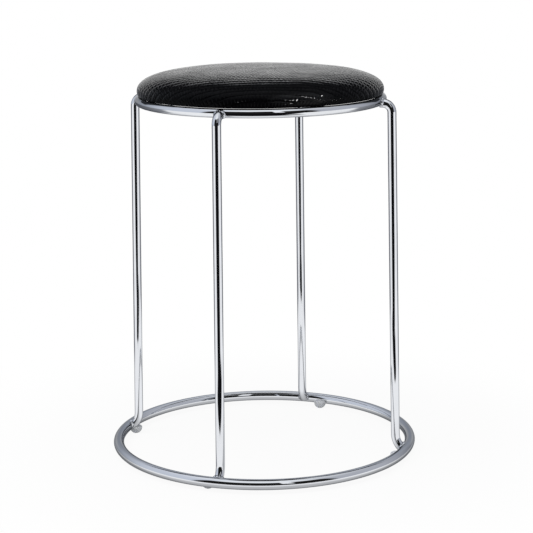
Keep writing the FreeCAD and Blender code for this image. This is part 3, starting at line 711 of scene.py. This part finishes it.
# How far each place of a coarse net over the seat stands out from its plain outline once the pad is
# inflated: the distance to the pad's surface, less the mean of its row, evened out a few times.
def simulatedBulge():
    pad = inflatedPad()
    net, _ = evenly(seatProfile(0.0), seat["net"][0])
    a = fullTurn(seat["net"][1])[None, :]
    places = spun(net, a)
    probe = bpy.data.objects.new("probe", bpy.data.meshes.new("probe"))
    probe.data.from_pydata(places.reshape(-1, 3).tolist(), [], [])
    scene.collection.objects.link(probe)
    probe.modifiers.new("wrap", "SHRINKWRAP").target = pad
    offset = vertexPlaces(finishedMesh(probe)).reshape(places.shape) - places
    stand = (offset * spun(outwardOf(net), a)).sum(-1)
    stand -= stand.mean(axis=1, keepdims=True)
    for _ in range(seat["evening"]):
        stand = (np.roll(stand, 1, 1) + 2 * stand + np.roll(stand, -1, 1)) / 4
        stand[1:-1] = (stand[:-2] + 2 * stand[1:-1] + stand[2:]) / 4
    stand[:4] = stand[:4].mean(axis=1, keepdims=True)
    for item in (pad, probe):
        bpy.data.objects.remove(item)
    return np.clip(stand, -seat["keep"], seat["keep"])


# Values of a net over rows and a full turn of columns, read between its places.
def betweenPlaces(net, row, column):
    i0, j0 = np.floor(row).astype(int), np.floor(column).astype(int)
    i1, j1 = np.minimum(i0 + 1, net.shape[0] - 1), (j0 + 1) % net.shape[1]
    fi, fj = (row - i0)[:, None], (column - j0)[None, :]
    low = (1 - fi) * net[i0][:, j0] + fi * net[i1][:, j0]
    high = (1 - fi) * net[i0][:, j1] + fi * net[i1][:, j1]
    return (1 - fj) * low + fj * high


# Depth of the gathers round the hem, 0 to 1: grooves of uneven width, each a bell curve.
def gathers(a):
    widths = random.uniform(0.55, 1.5, seat["pleats"])
    edges = np.concatenate([[0], np.cumsum(widths)]) / widths.sum() * 2 * math.pi
    fold = np.interp(a, edges, np.arange(len(edges)))
    depth = random.uniform(0.3, 1.0, seat["pleats"] + 1)[np.floor(fold).astype(int) % seat["pleats"]]
    return np.exp(-((fold % 1 - 0.5) / 0.16) ** 2) * depth


# Outer skin, hem and inner skin in one closed turn. The skin stands out by the cloth's
# unevenness, and folds press in under the edge where the sheet is gathered.
def seatPoints(bulge, around=420):
    skin = seatProfile(0.0)
    soleEnd = skin[-1, 0]
    hemEnd = soleEnd - seat["hem"]
    hemLine = np.stack([np.linspace(soleEnd, hemEnd, 30)[1:], np.full(29, seat["underside"])], -1)
    outer, travel = evenly(np.concatenate([skin, hemLine]), 190)
    lip = np.array([[hemEnd, seat["underside"] + seat["thickness"]]])
    inside, _ = evenly(np.concatenate([lip, seatProfile(seat["thickness"])[::-1]]), 40)
    a = fullTurn(around)

    skinLength = np.linalg.norm(np.diff(skin, axis=0), axis=1).sum()
    skinTravel = travel[np.searchsorted(travel, skinLength) - 1]
    row = np.clip(travel / skinTravel, 0, 1) * (bulge.shape[0] - 1)
    lift = betweenPlaces(bulge, row, a / (2 * math.pi) * bulge.shape[1])
    lift *= np.clip((outer[:, 1] - seat["underside"] - 0.004) / 0.006, 0, 1)[:, None]

    onHem = outer[:, 1] < seat["underside"] + 0.0001
    inward = np.clip((soleEnd - 0.0005 - outer[:, 0]) / 0.004, 0, 1) * onHem
    fade = np.clip((outer[:, 0] - hemEnd - 0.004) / 0.01, 0, 1)
    lift -= (inward ** 1.5 * fade)[:, None] * gathers(a)[None, :] * seat["pleatDepth"]
    points = spun(outer, a[None, :]) + spun(outwardOf(outer), a[None, :]) * lift[..., None]

    every = np.concatenate([points[1:], spun(inside[:-1], a[None, :])])
    reach = np.concatenate([travel[1:], np.full(len(inside) - 1, travel[-1])])[:, None]
    sheetMap = np.stack([reach * np.cos(a), reach * np.sin(a)], -1)
    return every, sheetMap


bulge = simulatedBulge()
every, sheetMap = seatPoints(bulge)
solid, faces = cappedTube(every)
sheetAll = np.concatenate([sheetMap.reshape(-1, 2), [[0, 0], [0, 0]]])
cover = makePiece("seatCover", solid, faces, vinyl, sheetAll)
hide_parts("seat_cover", "seat_foam")
print("seat made")


# Dust cover

dust = {
    "radius": 0.124,
    "top": 0.4158,
    "thickness": 0.0004,
    "sag": 0.000385,
    "crease": 0.00022,
    "slack": 0.00012,
    "staples": 16,
}


# Round sheet: it hangs lowest half-way in, by a sine, and near the rim it drops between the
# staples, by a cosine. Slow ripples lie over the middle part.
def dustPoints(around=288, across=110):
    s = np.linspace(0.004, 1, across)[:, None]
    a = fullTurn(around)[None, :]
    held = 0.5 - 0.5 * np.cos(dust["staples"] * a)
    drop = dust["sag"] * np.sin(math.pi * s)
    crease = dust["crease"] * (1 - held) * np.clip((s - 0.55) / 0.4, 0, 1) ** 2
    ripple = waves(a, (3, 7, 11), (1, 0.6, 0.4), (0.3, 1.7, 4.1))
    slack = dust["slack"] * ripple * np.sin(math.pi * s) ** 2
    low = dust["top"] - dust["thickness"] - drop - crease + slack
    r = dust["radius"] * s
    under = np.stack([r * np.cos(a), r * np.sin(a), low], -1)
    upper = under + np.array([0, 0, dust["thickness"]])
    return np.concatenate([under, upper[::-1]])


solid, faces = cappedTube(dustPoints()[::-1])
cloth = makePiece("dustCover", solid, faces, dustCloth)
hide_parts("dust_cover")
print("dust cover made")


# CAD pieces that stay, with their finish

finishes = {"seat_tab": zinc, "seat_washer": zinc, "seat_screw": zinc, "hem_staples": zinc,
            "dust_staples": zinc, "tab_weld": weldChrome, "seat_board": plywood}
for nodeName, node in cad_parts.items():
    for start, material in finishes.items():
        if nodeName.startswith(start):
            node.data.materials.clear()
            node.data.materials.append(material)
print("plain pieces finished")


# Floor, world and lamps

# Places on the floor are in metres, to the camera's right, and from the stool's axis towards the
# camera. Angles are in radians, 0 towards the camera. A pair is where a smooth step starts and ends.
paper = {
    "white": (0.97, 0.98, 1.0),
    "dark": (0.006, 0.006, 0.007),
    "grey": (0.30, 0.31, 0.34),
    "underRing": (0.05, 0.052, 0.056),
    "darkStart": (0.36, 0.40),
    "wedgeMiddle": -0.08,
    "wedgeGrowth": (0.85, -0.21),  # half width per metre nearer, and at the stool's axis
    "bandEnd": (0.66, 0.60),
    "bandSides": (0.40, 0.34),
    "greyTurn": (1.55, 1.75),
    "greyReach": (0.45, 0.6),
    "ringShade": (0.006, 0.05, 0.5, 0.0),
    "shadowFade": (0.2, 0.5, 0.92, 1.0),
}
ceiling = (0.9, 0.93, 0.97)
room = {
    "front": [(0.0, (0.012,) * 3), (0.53, (0.01,) * 3), (0.60, ceiling), (1.0, ceiling)],
    "left": [(0.0, (0.60, 0.65, 0.74)), (0.5, (0.64, 0.68, 0.77)), (1.0, ceiling)],
    "right": [(0.0, (0.44, 0.46, 0.52)), (0.5, (0.48, 0.50, 0.55)), (1.0, ceiling)],
    "behind": [(0.0, (1.0, 1.0, 1.0)), (0.10, (1.0, 1.0, 1.0)), (0.2, (0.58, 0.62, 0.70)),
               (0.5, (0.58, 0.62, 0.70)), (0.7, (0.8, 0.83, 0.87)), (1.0, (0.88, 0.9, 0.93))],
    "frontTurn": (1.0, 0.86),
    "behindTurn": (2.4, 2.75),
    "stripMiddle": 0.31,
    "stripColor": (0.95, 0.97, 1.0),
    "ambient": 0.55,
}
darkCard = {"color": (0.05, 0.053, 0.06, 1), "halfWidth": 0.6, "behind": 0.36, "low": 0.555, "high": 1.1}
lamps = {
    "window": {"azimuth": 33, "elevation": 20, "distance": 2.2, "size": 0.1, "watts": 20, "mirrored": True},
    "softLeft": {"azimuth": -60, "elevation": 50, "distance": 2.0, "size": 1.4, "watts": 14,
                 "mirrored": False},
    "softTop": {"azimuth": 20, "elevation": 80, "distance": 2.2, "size": 1.6, "watts": 14,
                "mirrored": False},
}


# Azimuth round the stool, 0 towards the camera, the vector in the camera's directions, and how far
# it reaches towards the camera.
def cameraSide(tree, source):
    lined = put(tree, "ShaderNodeMapping", {"Vector": source, "Rotation": (0, 0, -viewAzimuth)}).outputs[0]
    parts = put(tree, "ShaderNodeSeparateXYZ", {0: lined}).outputs
    nearness = calc(tree, "MULTIPLY", parts[1], -1.0)
    return calc(tree, "ARCTAN2", parts[0], nearness), parts, nearness


# One shader where it is seen straight on, one where metal mirrors it, and one for everything else.
def bySight(tree, straight, mirrored, other):
    path = put(tree, "ShaderNodeLightPath").outputs
    direct = calc(tree, "MAXIMUM", path["Is Camera Ray"], path["Is Transmission Ray"])
    return mixed(tree, path["Is Glossy Ray"], mixed(tree, direct, other, straight), mirrored)


def stageSheet(name, material, corners):
    mesh = bpy.data.meshes.new(name)
    mesh.from_pydata(corners, [], [(0, 1, 2, 3)])
    mesh.materials.append(material)
    sheet = bpy.data.objects.new(name, mesh)
    scene.collection.objects.link(sheet)
    return sheet


# What metal mirrors in the floor: white paper, a dark wedge and band towards the camera, grey at the
# far sides, and the shade under the base ring.
def mirroredFloor(tree, place):
    azimuth, parts, nearness = cameraSide(tree, place)
    reach = lengthOf(tree, place)
    aside = calc(tree, "ABSOLUTE", calc(tree, "SUBTRACT", parts[0], paper["wedgeMiddle"]))
    wedge = calc(tree, "SUBTRACT", aside, calc(tree, "MULTIPLY_ADD", nearness, *paper["wedgeGrowth"]))
    started = step(tree, nearness, *paper["darkStart"])
    band = calc(tree, "MULTIPLY", started, step(tree, nearness, *paper["bandEnd"]))
    band = calc(tree, "MULTIPLY", band, step(tree, calc(tree, "ABSOLUTE", parts[0]), *paper["bandSides"]))
    dark = calc(tree, "MULTIPLY", step(tree, wedge, 0.03, -0.03), started)
    dark = calc(tree, "MAXIMUM", dark, band)
    turned = step(tree, calc(tree, "ABSOLUTE", azimuth), *paper["greyTurn"])
    far = calc(tree, "MULTIPLY", turned, step(tree, reach, *paper["greyReach"]))
    offRing = calc(tree, "ABSOLUTE", calc(tree, "SUBTRACT", reach, rings["base_ring"]["radius"]))
    shown = blendColor(tree, far, paper["white"], paper["grey"])
    shown = blendColor(tree, dark, shown, paper["dark"])
    return blendColor(tree, step(tree, offRing, *paper["ringShade"]), shown, paper["underRing"])


# White paper. Straight on it is white with a faint shadow near the stool.
def makeFloor():
    material, tree, shader = newMaterial("paper")
    tree.nodes.remove(shader)
    place = put(tree, "ShaderNodeTexCoord").outputs["Object"]
    mirrored = put(tree, "ShaderNodeEmission", {"Color": mirroredFloor(tree, place)}).outputs[0]
    shaded = put(tree, "ShaderNodeBsdfDiffuse", {"Color": (0.82, 0.82, 0.82, 1)}).outputs[0]
    bright = put(tree, "ShaderNodeEmission", {"Color": (1, 1, 1, 1)}).outputs[0]
    straight = mixed(tree, step(tree, lengthOf(tree, place), *paper["shadowFade"]), shaded, bright)
    seen = bySight(tree, straight, mirrored, shaded)
    tree.links.new(seen, tree.nodes["Material Output"].inputs[0])
    stageSheet("floor", material, [(-9, -9, 0), (9, -9, 0), (9, 9, 0), (-9, 9, 0)])


# Pale studio. Metal sees pale paper behind, a bright ceiling, a pale left, a grey right and the dark
# of the room behind the camera with one bright strip in it. Heights go from 0, level, to 1, straight up.
def makeWorld():
    world = bpy.data.worlds.new("studio")
    scene.world = world
    world.use_nodes = True
    tree = world.node_tree
    tree.nodes.clear()
    azimuth, parts, _ = cameraSide(tree, put(tree, "ShaderNodeTexCoord").outputs["Generated"])
    height = calc(tree, "DIVIDE", calc(tree, "ARCSINE", parts[2]), math.pi / 2)
    side = calc(tree, "ABSOLUTE", azimuth)
    front, left, right, behind = (ramp(tree, height, room[k]) for k in ("front", "left", "right", "behind"))
    shown = blendColor(tree, step(tree, azimuth, -0.1, 0.1), left, right)
    shown = blendColor(tree, step(tree, side, *room["frontTurn"]), shown, front)
    strip = calc(tree, "ABSOLUTE", calc(tree, "SUBTRACT", azimuth, room["stripMiddle"]))
    strip = calc(tree, "MULTIPLY", step(tree, strip, 0.10, 0.07), step(tree, height, 0.2, 0.28))
    shown = blendColor(tree, strip, shown, room["stripColor"])
    shown = blendColor(tree, step(tree, side, *room["behindTurn"]), shown, behind)
    ambient = put(tree, "ShaderNodeBackground", {"Color": (1, 1, 1, 1), "Strength": room["ambient"]})
    bright = put(tree, "ShaderNodeBackground", {"Color": (1, 1, 1, 1), "Strength": 1.0})
    mirrored = put(tree, "ShaderNodeBackground", {"Color": shown, "Strength": 1.0})
    seen = bySight(tree, bright.outputs[0], mirrored.outputs[0], ambient.outputs[0])
    tree.links.new(seen, put(tree, "ShaderNodeOutputWorld").inputs[0])


# Dark card hung behind the seat and above it, that is seen only as a reflection.
def makeDarkCard(card):
    material, tree, shader = newMaterial("darkCard")
    tree.nodes.remove(shader)
    glow = put(tree, "ShaderNodeEmission", {"Color": card["color"]}).outputs[0]
    tree.links.new(glow, tree.nodes["Material Output"].inputs[0])
    x, y, low, high = card["halfWidth"], card["behind"], card["low"], card["high"]
    outline = np.array([(-x, y, low), (x, y, low), (x, y, high), (-x, y, high)])
    sheet = stageSheet("darkCard", material, turnedBy(outline, math.degrees(viewAzimuth)).tolist())
    for ray in ("camera", "diffuse", "transmission", "shadow"):
        setattr(sheet, "visible_" + ray, False)


# Round lamp aimed at the middle of the stool. Angles are in degrees, 0 towards the camera.
def addLamp(name, values):
    data = bpy.data.lights.new(name, "AREA")
    data.shape = "DISK"
    data.size = values["size"]
    data.energy = values["watts"]
    lamp = bpy.data.objects.new(name, data)
    scene.collection.objects.link(lamp)
    turn = viewAzimuth + math.radians(values["azimuth"])
    rise = math.radians(values["elevation"])
    toward = Vector((math.sin(turn) * math.cos(rise), -math.cos(turn) * math.cos(rise), math.sin(rise)))
    lamp.location = Vector((0, 0, 0.25)) + toward * values["distance"]
    lamp.rotation_euler = toward.to_track_quat("Z", "Y").to_euler()
    lamp.visible_glossy = values["mirrored"]
    lamp.visible_camera = False
    return lamp


# The lamp lights the cover alone, so that the tubes don't mirror it.
def lightOnly(lamp, piece):
    receivers = bpy.data.collections.new(lamp.name + "Receivers")
    receivers.objects.link(piece)
    lamp.light_linking.receiver_collection = receivers


makeFloor()
makeWorld()
makeDarkCard(darkCard)
for lampName, values in lamps.items():
    lamp = addLamp(lampName, values)
    if lampName == "window":
        lightOnly(lamp, cover)
scene.view_settings.view_transform = "Standard"
print("studio set")
